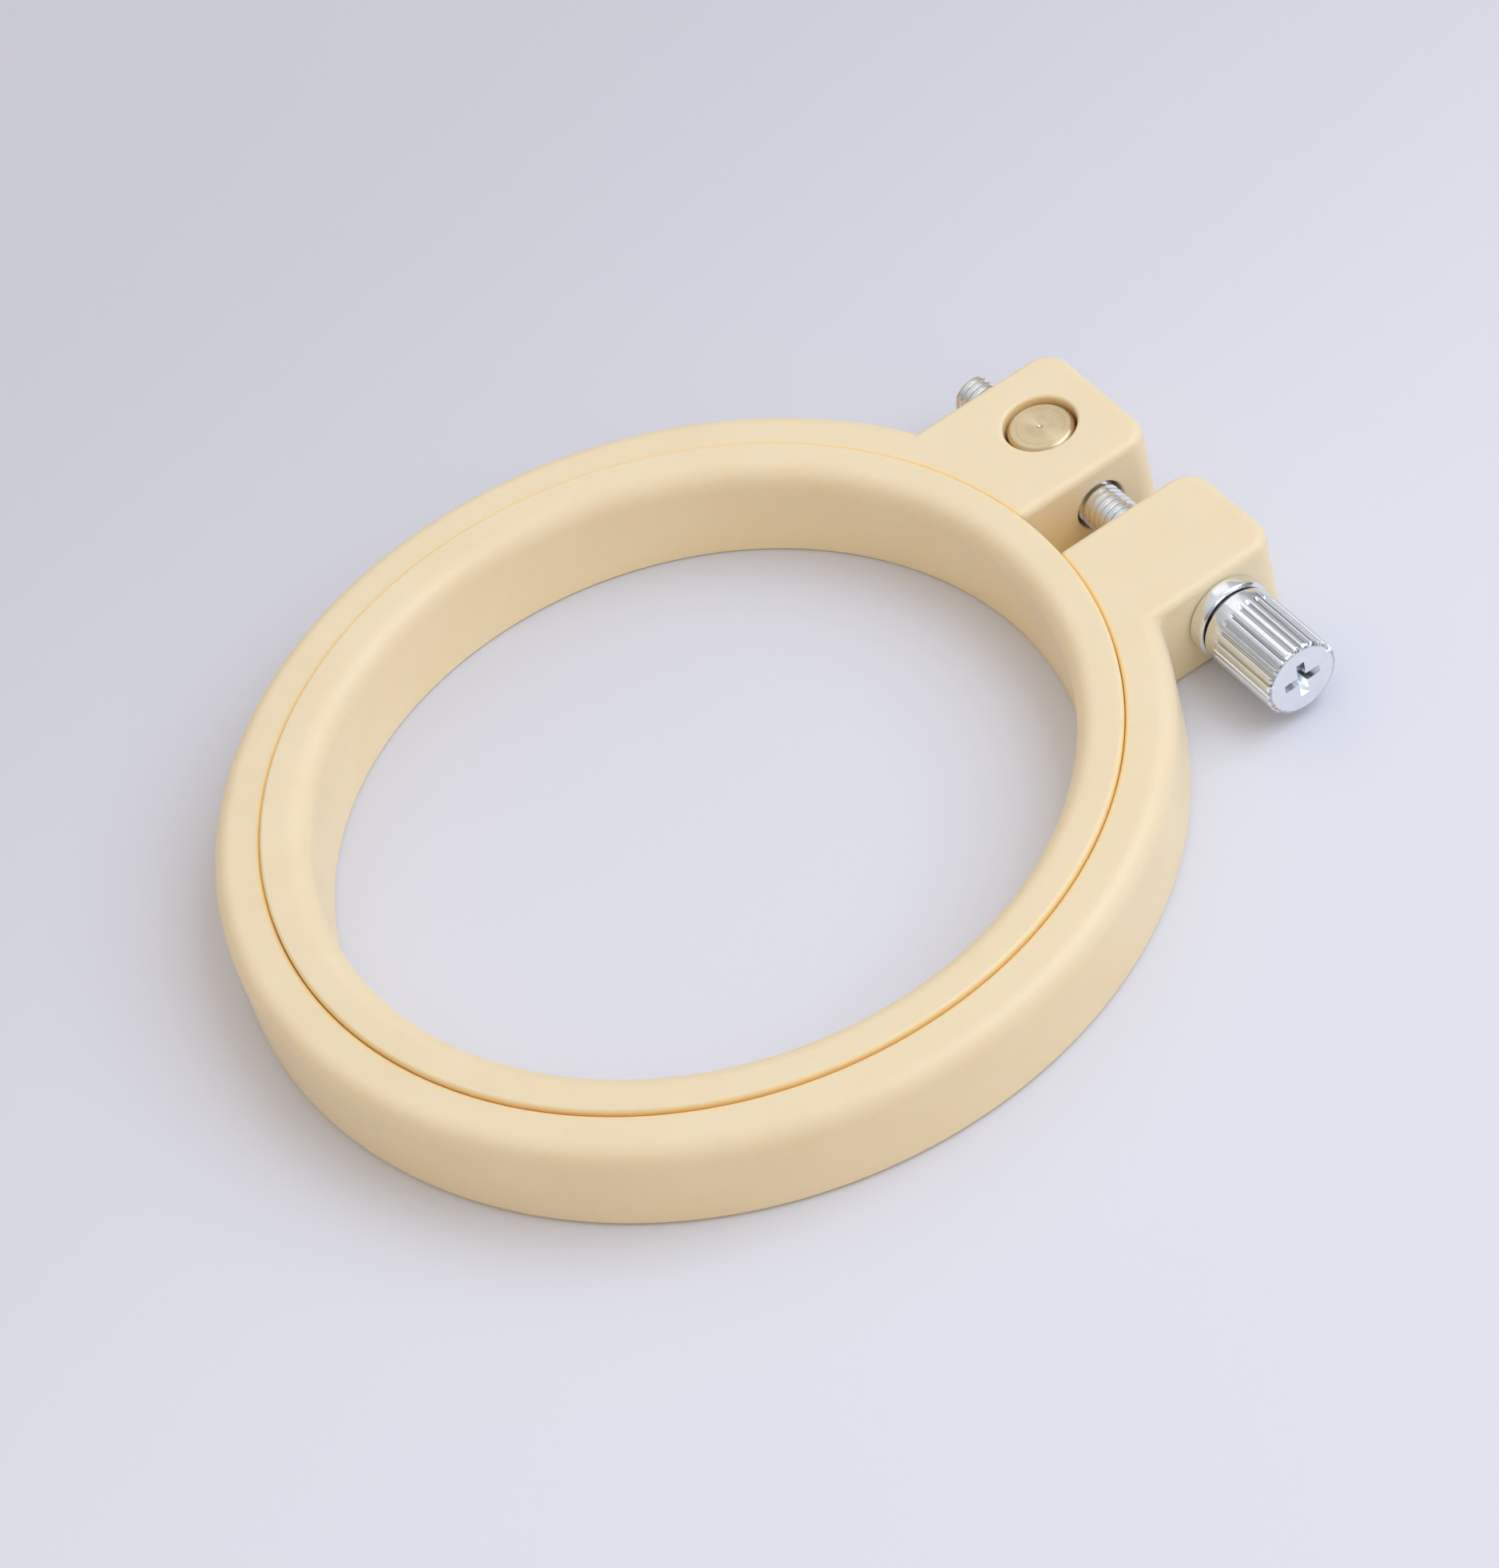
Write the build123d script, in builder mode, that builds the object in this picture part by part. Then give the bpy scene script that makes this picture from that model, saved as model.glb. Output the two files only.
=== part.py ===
from build123d import *
from math import asin, cos, degrees, radians, sin
import os

# An embroidery hoop: a plain inner ring held by a split outer ring, which a thumb screw closes.
# The rings' axis is Z and they stand on z = 0. The clamp lugs point along +Y, and the screw
# lies along X with its head at +X. All lengths are in millimetres.

# Outer ring
ring_outer_radius = 50.0
ring_wall = 5.2
ring_height = 11.0
ring_top_round = 2.1
ring_mouth_round = 0.5
ring_foot_round = 0.8

# Inner ring
ring_clearance = 0.3
inner_wall = 4.8
inner_stand_proud = 0.5
inner_lip_round = 1.6
inner_rim_round = 0.5
inner_foot_round = 0.6

# Clamp lugs, one on each side of the split
split_gap = 6.8
nut_lug_width = 18.3
head_lug_width = 14.5
lug_projection = 12.1
lug_corner_radius = 3.0
lug_edge_round = 1.2
lug_foot_round = 0.5
screw_inset = 7.8

# Thumb screw
thread_diameter = 5.0
tip_overhang = 5.4
tip_chamfer = 0.6
head_diameter = 8.7
head_length = 11.1
head_plain_band = 2.4
head_chamfer = 0.35
flute_count = 25
flute_width = 0.5
flute_depth = 0.3
cross_span = 4.4
cross_arm_width = 1.0
cross_depth = 1.8
cross_taper = 6.0
head_way_clearance = 0.3

# Washer under the screw's head
washer_diameter = 9.0
washer_thickness = 2.0
washer_clearance = 0.15
washer_chamfer = 0.25

# Barrel nut, upright in its pocket in the nut lug
nut_diameter = 7.2
nut_recess = 0.5
nut_chamfer = 0.35
nut_thread_clearance = 0.08
nut_pocket_inset = 9.6
nut_pocket_clearance = 0.4
nut_pocket_round = 0.4
nut_way_clearance = 0.6

# How far a cutting shape runs past the face it cuts
cut_overrun = 1.0

# Places worked out from the sizes
ring_inner_radius = ring_outer_radius - ring_wall
ring_middle_radius = ring_outer_radius - ring_wall / 2
inner_outer_radius = ring_inner_radius - ring_clearance
inner_bore_radius = inner_outer_radius - inner_wall
inner_height = ring_height + inner_stand_proud

lug_face_y = ring_outer_radius + lug_projection
nut_lug_x = -(split_gap + nut_lug_width) / 2
head_lug_x = (split_gap + head_lug_width) / 2
nut_lug_end_x = nut_lug_x - nut_lug_width / 2
head_lug_end_x = head_lug_x + head_lug_width / 2

screw_y = lug_face_y - screw_inset
screw_z = ring_height / 2
tip_x = nut_lug_end_x - tip_overhang
head_x = head_lug_end_x + washer_thickness
head_end_x = head_x + head_length
flute_x = head_x + head_plain_band

nut_x = -split_gap / 2 - nut_pocket_inset
nut_pocket_radius = nut_diameter / 2 + nut_pocket_clearance

# The ring flexes about a line on its outer wall, opposite the split and in line with the nut,
# and the wall of each half runs from that line to the middle of its lug
flex_angle = -90 + degrees(asin(nut_x / ring_outer_radius))
nut_end_angle = 90 - degrees(asin(nut_lug_x / ring_middle_radius))
head_end_angle = 90 - degrees(asin(head_lug_x / ring_middle_radius))


def radial_plane(angle):
    """Upright plane through the rings' axis, with its X pointing outwards at the angle."""
    outwards = (cos(radians(angle)), sin(radians(angle)), 0)
    facing = (sin(radians(angle)), -cos(radians(angle)), 0)
    return Plane(origin=(0, 0, 0), x_dir=outwards, z_dir=facing)


def screw_plane(x):
    """Plane square to the screw's axis at a place along it, facing the head."""
    return Plane(origin=(x, screw_y, screw_z), x_dir=(0, 1, 0), z_dir=(1, 0, 0))


def ring_section(plane, inner_radius, wall, height, mouth_round, top_round, foot_round):
    """Section of a ring's wall: rounded at both top edges and at the outer bottom edge."""
    with BuildSketch(plane) as section:
        with Locations((inner_radius, 0)):
            Rectangle(wall, height, align=(Align.MIN, Align.MIN))
        corners = section.vertices().sort_by(Axis.X)
        inner_corners = corners[:2].sort_by(Axis.Y)
        outer_corners = corners[2:].sort_by(Axis.Y)
        fillet(outer_corners[1], top_round)
        fillet(inner_corners[1], mouth_round)
        fillet(outer_corners[0], foot_round)
    return section.sketch


def outer_wall(start_angle, end_angle):
    """Stretch of the outer ring's wall from one angle round to another."""
    section = ring_section(
        radial_plane(start_angle),
        ring_inner_radius,
        ring_wall,
        ring_height,
        ring_mouth_round,
        ring_top_round,
        ring_foot_round,
    )
    with BuildPart() as wall:
        revolve(section, axis=Axis.Z, revolution_arc=end_angle - start_angle)
    return wall.part


def lug_block(centre_x, width):
    """Rounded block of one lug, cut back to the mouth of the outer ring."""
    with BuildPart() as block:
        with BuildSketch() as plan:
            with Locations((centre_x, 0)):
                Rectangle(width, lug_face_y, align=(Align.CENTER, Align.MIN))
            fillet(plan.vertices().group_by(Axis.Y)[-1], lug_corner_radius)
        extrude(amount=ring_height)
        fillet(block.faces().sort_by(Axis.Z)[-1].edges(), lug_edge_round)
        fillet(block.faces().sort_by(Axis.Z)[0].edges(), lug_foot_round)
        add(mouth.part, mode=Mode.SUBTRACT)
    return block.part


# The space inside the outer ring, flared by the round of the ring's mouth
with BuildPart() as mouth:
    with BuildSketch(Plane.XZ):
        with BuildLine():
            Polyline(
                (0, ring_height + cut_overrun),
                (0, -cut_overrun),
                (ring_inner_radius, -cut_overrun),
                (ring_inner_radius, ring_height - ring_mouth_round),
            )
            CenterArc(
                (ring_inner_radius + ring_mouth_round, ring_height - ring_mouth_round),
                ring_mouth_round,
                180,
                -90,
            )
            Polyline(
                (ring_inner_radius + ring_mouth_round, ring_height),
                (ring_inner_radius + ring_mouth_round, ring_height + cut_overrun),
                (0, ring_height + cut_overrun),
            )
        make_face()
    revolve(axis=Axis.Z)

# Half of the outer ring that the screw's head pulls on
with BuildPart() as outer_ring_head_side:
    add(outer_wall(flex_angle, head_end_angle))
    add(lug_block(head_lug_x, head_lug_width))
    with BuildSketch(screw_plane(head_lug_x)):
        Circle(thread_diameter / 2 + head_way_clearance)
    extrude(amount=head_lug_width / 2 + cut_overrun, both=True, mode=Mode.SUBTRACT)

# Half of the outer ring that holds the nut in a pocket through its lug
with BuildPart() as outer_ring_nut_side:
    add(outer_wall(nut_end_angle, flex_angle + 360))
    add(lug_block(nut_lug_x, nut_lug_width))
    with BuildSketch(Plane((nut_x, screw_y, 0))):
        Circle(nut_pocket_radius)
    extrude(amount=ring_height, mode=Mode.SUBTRACT)
    round_walls = outer_ring_nut_side.faces().filter_by(GeomType.CYLINDER)
    pocket_wall = round_walls.sort_by_distance((nut_x, screw_y, screw_z))[0]
    fillet(pocket_wall.edges().filter_by(GeomType.CIRCLE), nut_pocket_round)
    with BuildSketch(screw_plane(nut_lug_x)):
        Circle(thread_diameter / 2 + nut_way_clearance)
    extrude(amount=nut_lug_width / 2 + cut_overrun, both=True, mode=Mode.SUBTRACT)

# Inner ring, which stands a little proud of the outer one
with BuildPart() as inner_ring:
    revolve(
        ring_section(
            Plane.XZ,
            inner_bore_radius,
            inner_wall,
            inner_height,
            inner_lip_round,
            inner_rim_round,
            inner_foot_round,
        ),
        axis=Axis.Z,
    )

# Thumb screw: a straight shank and a fluted head with a cross recess in its end
with BuildPart() as thumb_screw:
    with BuildSketch(screw_plane(tip_x)):
        Circle(thread_diameter / 2)
    extrude(amount=head_x - tip_x)
    chamfer(thumb_screw.faces().sort_by(Axis.X)[0].edges(), tip_chamfer)
    with BuildSketch(screw_plane(head_x)):
        Circle(head_diameter / 2)
    extrude(amount=head_length)
    head_rims = thumb_screw.edges().filter_by(GeomType.CIRCLE).group_by(SortBy.RADIUS)[-1]
    chamfer(head_rims, head_chamfer)
    with BuildSketch(screw_plane(flute_x)):
        with PolarLocations(head_diameter / 2, flute_count):
            Ellipse(flute_depth, flute_width / 2)
    extrude(amount=head_end_x - flute_x + cut_overrun, mode=Mode.SUBTRACT)
    with BuildSketch(screw_plane(head_end_x)):
        Rectangle(cross_span, cross_arm_width)
        Rectangle(cross_arm_width, cross_span)
    extrude(amount=-cross_depth, taper=cross_taper, mode=Mode.SUBTRACT)

# Washer between the screw's head and the lug
with BuildPart() as head_washer:
    with BuildSketch(screw_plane(head_lug_end_x)):
        Circle(washer_diameter / 2)
        Circle(thread_diameter / 2 + washer_clearance, mode=Mode.SUBTRACT)
    extrude(amount=washer_thickness)
    washer_rims = head_washer.edges().filter_by(GeomType.CIRCLE).group_by(SortBy.RADIUS)[-1]
    chamfer(washer_rims, washer_chamfer)

# Barrel nut, whose cross hole clears the crests of the screw's thread
with BuildPart() as barrel_nut:
    with BuildSketch(Plane((nut_x, screw_y, nut_recess))):
        Circle(nut_diameter / 2)
    extrude(amount=ring_height - 2 * nut_recess)
    chamfer(barrel_nut.edges().filter_by(GeomType.CIRCLE), nut_chamfer)
    with BuildSketch(screw_plane(nut_x)):
        Circle(thread_diameter / 2 + nut_thread_clearance)
    extrude(amount=nut_diameter, both=True, mode=Mode.SUBTRACT)

pieces = {
    "outer_ring_head_side": outer_ring_head_side,
    "outer_ring_nut_side": outer_ring_nut_side,
    "inner_ring": inner_ring,
    "thumb_screw": thumb_screw,
    "head_washer": head_washer,
    "barrel_nut": barrel_nut,
}
os.makedirs("parts", exist_ok=True)
for name, piece in pieces.items():
    piece.part.label = name
    export_step(piece.part, f"parts/{name}.step")
    print(name, round(piece.part.volume, 1), "mm3, valid", piece.part.is_valid)
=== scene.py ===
"""An embroidery hoop: a plain inner ring inside a split outer ring, closed by a thumb screw."""

from math import atan2, cos, hypot, pi, radians, sin, tan

import bmesh
import bpy
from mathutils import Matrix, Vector


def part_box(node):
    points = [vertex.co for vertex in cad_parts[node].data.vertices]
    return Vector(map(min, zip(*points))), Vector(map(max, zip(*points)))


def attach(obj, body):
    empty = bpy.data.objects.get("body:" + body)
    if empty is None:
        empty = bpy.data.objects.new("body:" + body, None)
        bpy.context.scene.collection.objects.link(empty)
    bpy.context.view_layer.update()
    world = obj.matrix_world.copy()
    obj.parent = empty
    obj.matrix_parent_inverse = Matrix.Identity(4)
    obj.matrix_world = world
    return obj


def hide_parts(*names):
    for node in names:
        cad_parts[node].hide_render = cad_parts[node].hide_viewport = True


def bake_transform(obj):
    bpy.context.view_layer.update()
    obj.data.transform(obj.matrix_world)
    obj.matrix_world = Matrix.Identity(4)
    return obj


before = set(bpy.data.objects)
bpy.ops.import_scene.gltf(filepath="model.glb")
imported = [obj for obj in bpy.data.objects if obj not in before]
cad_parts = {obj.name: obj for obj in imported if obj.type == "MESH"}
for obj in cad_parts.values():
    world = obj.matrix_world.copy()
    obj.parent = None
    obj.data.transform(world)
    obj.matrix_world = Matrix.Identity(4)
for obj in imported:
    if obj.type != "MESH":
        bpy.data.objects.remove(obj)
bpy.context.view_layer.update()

bl_info = {
    "name": "Embroidery Hoop",
    "version": (1, 0, 0),
    "blender": (4, 5, 0),
    "location": "3D View > Sidebar > Hoop",
    "description": "Models an embroidery hoop round its packed frame",
    "category": "Add Mesh",
}

# Sizes are in metres, and points less than TINY apart count as one
MM = 0.001
TINY = 0.01 * MM

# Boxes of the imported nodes, which the default sizes and places come from
head_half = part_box("outer_ring_head_side")
nut_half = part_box("outer_ring_nut_side")
inner_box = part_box("inner_ring")
screw_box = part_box("thumb_screw")
washer_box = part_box("head_washer")
nut_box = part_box("barrel_nut")

# The screw's line and the nut's upright line
screw_y = (screw_box[0].y + screw_box[1].y) / 2
screw_z = (screw_box[0].z + screw_box[1].z) / 2
nut_x = (nut_box[0].x + nut_box[1].x) / 2


def length(name, description, default):
    """A length property, in metres."""
    return bpy.props.FloatProperty(
        name=name, description=description, default=default, min=0, precision=5, unit="LENGTH"
    )


def power(name, description, default):
    """A lamp's power, in watts."""
    return bpy.props.FloatProperty(
        name=name, description=description, default=default, min=0, unit="POWER"
    )


def share(name, description, default):
    """A property between nothing and all."""
    return bpy.props.FloatProperty(
        name=name, description=description, default=default, min=0, max=1, subtype="FACTOR"
    )


def colour(name, description, default):
    """A linear colour property."""
    return bpy.props.FloatVectorProperty(
        name=name, description=description, default=default, size=3, min=0, soft_max=1, subtype="COLOR"
    )


class HoopRingSizes(bpy.types.PropertyGroup):
    """Sizes of the two rings and the clamp lugs."""

    outer_radius: length("Outer radius", "Radius of the outer ring", head_half[1].x)
    height: length("Height", "Height of the outer ring", head_half[1].z)
    wall: length("Wall", "Thickness of the outer ring's wall", 5.2 * MM)
    top_round: length("Top round", "Round of the outer ring's outer top edge", 2.1 * MM)
    mouth_round: length("Mouth round", "Round of the outer ring's inner top edge", 0.4 * MM)
    foot_round: length("Foot round", "Round of the outer ring's outer bottom edge", 0.8 * MM)
    bore_foot_round: length("Bore foot round", "Round of the rings' inner bottom edges", 0.4 * MM)
    seam: length("Seam", "Hair's width left between the two rings", 0.05 * MM)
    inner_height: length("Inner ring height", "Height of the inner ring", inner_box[1].z)
    inner_wall: length("Inner ring wall", "Thickness of the inner ring's wall", 4.8 * MM)
    inner_lip_round: length("Inner lip round", "Round of the inner ring's inner top edge", 2.3 * MM)
    inner_rim_round: length("Inner rim round", "Round of the inner ring's outer top edge", 0.4 * MM)
    inner_foot_round: length("Inner foot round", "Round of the inner ring's foot", 0.6 * MM)
    split_gap: length("Split gap", "Width of the outer ring's split", -2 * nut_half[1].x)
    nut_lug_width: length("Nut lug width", "Width of the lug that holds the nut", 18.3 * MM)
    head_lug_end: length("Head lug end", "Place of the face under the washer", washer_box[0].x)
    lug_face: length("Lug face", "Distance of the lugs' front from the rings' axis", nut_half[1].y)
    lug_corner: length("Lug corner", "Radius of the lugs' front corners", 3.0 * MM)
    lug_root: length("Lug root", "Radius where a lug's side meets the ring", 0.9 * MM)
    split_corner: length("Split corner", "Radius where the split meets the bore", 0.9 * MM)
    lug_edge_round: length("Lug edge round", "Round of the lugs' top edges", 1.0 * MM)
    lug_foot_round: length("Lug foot round", "Round of the lugs' bottom edges", 0.5 * MM)
    pocket_radius: length("Pocket radius", "Radius of the nut's pocket", 4.0 * MM)
    pocket_round: length("Pocket round", "Round of the pocket's rims", 0.4 * MM)
    nut_way: length("Nut lug way", "Radius of the screw's way in the nut lug", 2.9 * MM)
    head_way: length("Head lug way", "Radius of the screw's way in the head lug", 2.8 * MM)
    way_round: length("Way round", "Round of the screw ways' rims", 0.3 * MM)


class HoopScrewSizes(bpy.types.PropertyGroup):
    """Sizes of the thumb screw, its washer and the barrel nut."""

    thread_radius: length("Thread radius", "Radius over the crests of the thread", 2.5 * MM)
    thread_pitch: length("Thread pitch", "Advance of the thread in one turn", 0.8 * MM)
    thread_depth: length("Thread depth", "Depth of the thread", 0.45 * MM)
    thread_land: length("Thread land", "Flat on each crest and in each root", 0.14 * MM)
    neck_radius: length("Neck radius", "Radius of the plain neck under the head", 2.4 * MM)
    neck_length: length("Neck length", "Length of the plain neck", 4.0 * MM)
    tip_chamfer: length("Tip chamfer", "Chamfer at the screw's tip", 0.6 * MM)
    head_radius: length("Head radius", "Radius of the screw's head", screw_box[1].y - screw_y)
    head_chamfer: length("Head chamfer", "Chamfer at both ends of the head", 0.35 * MM)
    plain_band: length("Plain band", "Smooth band next to the washer", 2.4 * MM)
    head_boss: length("Head boss", "Height of the boss that bears on the washer", 0.2 * MM)
    flute_depth: length("Flute depth", "Depth of the grooves along the head", 0.36 * MM)
    flute_run_out: length("Flute run-out", "Length over which a groove fades out", 0.35 * MM)
    cross_span: length("Cross span", "Span of the cross recess", 4.4 * MM)
    cross_width: length("Cross width", "Width of the cross recess's arms", 1.0 * MM)
    cross_depth: length("Cross depth", "Depth of the cross recess", 1.8 * MM)
    washer_bore: length("Washer bore", "Radius of the washer's hole", 2.65 * MM)
    washer_chamfer: length("Washer chamfer", "Chamfer on the washer's rims", 0.25 * MM)
    nut_chamfer: length("Nut chamfer", "Chamfer on the nut's rims", 0.35 * MM)
    nut_hole: length("Nut hole", "Radius of the nut's cross hole", 2.58 * MM)
    nut_hole_round: length("Nut hole round", "Round of the cross hole's rims", 0.2 * MM)
    nut_centre_mark: length("Nut centre mark", "Radius of the mark at the nut's centre", 0.28 * MM)


class HoopFinishes(bpy.types.PropertyGroup):
    """Colours and gloss of the hoop and the table."""

    plastic: colour("Plastic", "Cream of the rings", (0.86, 0.74, 0.53))
    plastic_shade: colour("Plastic shade", "Deeper cream that clouds the rings", (0.845, 0.715, 0.50))
    # Painted glow: this amber stands in for light glowing through the plastic at the rings' seam
    plastic_seam_glow: colour("Plastic seam", "Amber of the plastic where the rings meet", (0.98, 0.70, 0.35))
    # Painted glow: this amber stands in for light glowing through the plastic in the split and the pocket
    plastic_gap_glow: colour("Plastic gap", "Amber of the plastic inside the split", (0.96, 0.73, 0.40))
    plastic_roughness: share("Plastic roughness", "Roughness of the rings", 0.40)
    plastic_glow: share("Plastic glow", "How far light passes into the plastic", 0.4)
    steel: colour("Steel", "Colour of the plated screw", (0.92, 0.93, 0.95))
    steel_roughness: share("Steel roughness", "Roughness of the plated screw", 0.17)
    brass: colour("Brass", "Colour of the nut", (0.76, 0.60, 0.38))
    brass_roughness: share("Brass roughness", "Roughness of the nut", 0.30)
    table: colour("Table", "Colour of the table", (0.74, 0.76, 0.86))
    # Painted shade: the table darkens towards -X, standing in for the lamps' light falling off
    table_painted_shade: colour("Far table", "Colour of the table towards -X", (0.60, 0.61, 0.70))
    table_bounce: colour("Table bounce", "Colour of the light off the table", (0.87, 0.79, 0.70))


class HoopStudio(bpy.types.PropertyGroup):
    """Lamps and sky over the table."""

    key_power: power("Key power", "Power of the big soft lamp", 7.6)
    key_colour: colour("Key colour", "Cool white of the big soft lamp", (0.84, 1.0, 1.22))
    back_power: power("Back power", "Power of the soft lamp behind", 0.8)
    side_power: power("Side power", "Power of the small lamp on the head's side", 0.65)
    sky_colour: colour("Sky colour", "Warm white of the light from all round", (1.10, 1.0, 0.88))
    zenith: share("Zenith", "Strength of the sky overhead", 0.76)
    horizon: share("Horizon", "Strength of the sky at the horizon", 0.38)
    gloss_colour: colour("Gloss colour", "Cool white of the sky in reflections", (0.94, 0.97, 1.0))
    gloss_zenith: share("Gloss zenith", "Strength of the reflected sky overhead", 0.9)
    gloss_horizon: share("Gloss horizon", "Strength of the reflected sky at the horizon", 0.12)


# Shaping

# How finely rounds are stepped, and above which angle an edge stays sharp
RING_SIDES = 240
TURNED_SIDES = 96
SMALL_SIDES = 120
ROUND_STEPS = 6
MOULDED_SHARP = radians(32)
METAL_SHARP = radians(30)


def add_piece(add, name, **sizes):
    """Adds a primitive with nothing else selected, and names it."""
    bpy.ops.object.select_all(action="DESELECT")
    add(**sizes)
    piece = bpy.context.object
    piece.name = piece.data.name = name
    return piece


def edit(piece, on=True):
    """Opens or closes a piece for editing."""
    bpy.context.view_layer.objects.active = piece
    bpy.ops.object.mode_set(mode="EDIT" if on else "OBJECT")
    if on:
        bpy.ops.mesh.select_mode(type="VERT")


def between(first, second, part_way):
    """A size part of the way from one to another."""
    return first + (second - first) * min(max(part_way, 0), 1)


def middle(part):
    """Middle of a face, an edge or a vertex."""
    if isinstance(part, bmesh.types.BMVert):
        return part.co.copy()
    if isinstance(part, bmesh.types.BMFace):
        return part.calc_center_median()
    return (part.verts[0].co + part.verts[1].co) / 2


def pick(piece, kind, test, needed=True):
    """Selects only the vertices, edges or faces whose middle passes a test."""
    bpy.ops.mesh.select_mode(type=kind)
    bpy.ops.mesh.select_all(action="DESELECT")
    form = bmesh.from_edit_mesh(piece.data)
    parts = {"VERT": form.verts, "EDGE": form.edges, "FACE": form.faces}[kind]
    chosen = [part for part in parts if test(middle(part))]
    if needed and not chosen:
        raise RuntimeError(f"{piece.name}: nothing there to pick")
    for part in chosen:
        part.select_set(True)
    form.select_flush_mode()
    bmesh.update_edit_mesh(piece.data)
    return len(chosen)


def carry_on(rise=0.0, ratio=1.0, last_place=0.0):
    """Extrudes what is selected up the Z axis and scales it about that axis."""
    bpy.ops.mesh.extrude_region()
    bpy.ops.transform.translate(value=(0, 0, rise))
    if ratio != 1.0:
        bpy.ops.transform.resize(value=(ratio, ratio, 1), center_override=(0, 0, last_place + rise))


def turned(name, stations, sides=TURNED_SIDES):
    """A turned solid: a disc carried along the Z axis through (place, radius) stations."""
    place, radius = stations[0]
    piece = add_piece(
        bpy.ops.mesh.primitive_circle_add,
        name,
        vertices=sides,
        radius=radius,
        fill_type="NGON",
        location=(0, 0, place),
    )
    bpy.ops.object.transform_apply(location=True, rotation=True, scale=True)
    edit(piece)
    bpy.ops.mesh.select_mode(type="FACE")
    bpy.ops.mesh.select_all(action="SELECT")
    for next_place, next_radius in stations[1:]:
        carry_on(next_place - place, next_radius / radius, place)
        place, radius = next_place, next_radius
    bpy.ops.mesh.select_all(action="SELECT")
    bpy.ops.mesh.normals_make_consistent(inside=False)
    edit(piece, False)
    return piece


def spun(name, radii, places, rounds, steps=RING_SIDES, segments=ROUND_STEPS):
    """A ring of rectangular section, spun about Z, its corners rounded from the bore's foot on."""
    (bore, rim), (low, high) = radii, places
    centre = Vector(((bore + rim) / 2, 0, (low + high) / 2))
    piece = add_piece(
        bpy.ops.mesh.primitive_plane_add, name, size=1, location=centre, rotation=(pi / 2, 0, 0)
    )
    bpy.ops.object.transform_apply(location=True, rotation=True, scale=True)
    edit(piece)
    bpy.ops.transform.resize(value=(rim - bore, 1, high - low), center_override=centre)
    corners = ((bore, low), (rim, low), (rim, high), (bore, high))
    for (x, z), reach in zip(corners, rounds):
        pick(piece, "VERT", lambda m: (m - Vector((x, 0, z))).length < TINY)
        bpy.ops.mesh.bevel(offset=reach, segments=segments, affect="VERTICES")
    bpy.ops.mesh.select_all(action="SELECT")
    bpy.ops.mesh.delete(type="ONLY_FACE")
    bpy.ops.mesh.select_all(action="SELECT")
    bpy.ops.mesh.spin(steps=steps, angle=2 * pi, center=(0, 0, 0), axis=(0, 0, 1))
    close_up(piece)
    return piece


def close_up(piece):
    """Merges doubled points and turns the faces outwards."""
    bpy.ops.mesh.select_all(action="SELECT")
    bpy.ops.mesh.remove_doubles(threshold=TINY)
    bpy.ops.mesh.normals_make_consistent(inside=False)
    edit(piece, False)


def use_modifier(piece, kind, **settings):
    """Adds a modifier and applies it at once."""
    bpy.ops.object.select_all(action="DESELECT")
    piece.select_set(True)
    bpy.context.view_layer.objects.active = piece
    modifier = piece.modifiers.new(kind.title(), kind)
    for name, value in settings.items():
        setattr(modifier, name, value)
    bpy.ops.object.modifier_apply(modifier=modifier.name)


def combine(piece, other, operation):
    """Cuts, joins or intersects a piece with another form, which is used up."""
    use_modifier(piece, "BOOLEAN", object=other, operation=operation, solver="EXACT")
    bpy.data.objects.remove(other)


def lay_on_screw_line(piece):
    """Turns a form made along Z on to the screw's line, so that its places become X."""
    piece.rotation_euler = (0, pi / 2, 0)
    piece.location = (0, screw_y, screw_z)
    bpy.ops.object.select_all(action="DESELECT")
    piece.select_set(True)
    bpy.context.view_layer.objects.active = piece
    bpy.ops.object.transform_apply(location=True, rotation=True, scale=True)


def flared(name, radius, flare, low, high):
    """A cutting form for a hole from low to high whose rims are rounded."""
    steps = [i / ROUND_STEPS * pi / 2 for i in range(ROUND_STEPS + 1)]
    rim = [(flare * (1 - sin(turn)), radius + flare * (1 - cos(turn))) for turn in steps]
    bottom = [(low + depth, reach) for depth, reach in reversed(rim)]
    top = [(high - depth, reach) for depth, reach in rim]
    wide = radius + flare
    ends = ((low - MM, wide), (high + MM, wide))
    return turned(name, [ends[0], *bottom, *top, ends[1]])


def break_edges(piece, width, sharp=METAL_SHARP):
    """Takes the keenness off a metal piece's sharp edges."""
    use_modifier(
        piece, "BEVEL", limit_method="ANGLE", angle_limit=sharp, width=width, segments=2
    )


def polish(piece, sharp=METAL_SHARP):
    """Smooth shading that keeps flat faces flat and real corners sharp."""
    bpy.ops.object.select_all(action="DESELECT")
    piece.select_set(True)
    bpy.context.view_layer.objects.active = piece
    bpy.ops.object.shade_smooth_by_angle(angle=sharp)
    use_modifier(piece, "WEIGHTED_NORMAL", keep_sharp=True)


# Finishes

# Range in which nearly all of a noise lies, and the strength of every relief
NOISE_RANGE = 0.3, 0.7
RELIEF = 0.5

# Marks to the metre of the plastic's clouds, sheen, swell and grain, the depths of its relief, and
# how far its roughness swings
PLASTIC_CLOUDS = 130
PLASTIC_SHEEN = 420
PLASTIC_SWELL, SWELL_DEPTH = 160, 0.05 * MM
PLASTIC_GRAIN, GRAIN_DEPTH = 5200, 0.006 * MM
PLASTIC_SWING = -0.05, 0.05

# How light bends and spreads inside the plastic
PLASTIC_IOR = 1.49
GLOW_REACH, GLOW_SCALE = (1.0, 0.45, 0.12), 1.5 * MM

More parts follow.
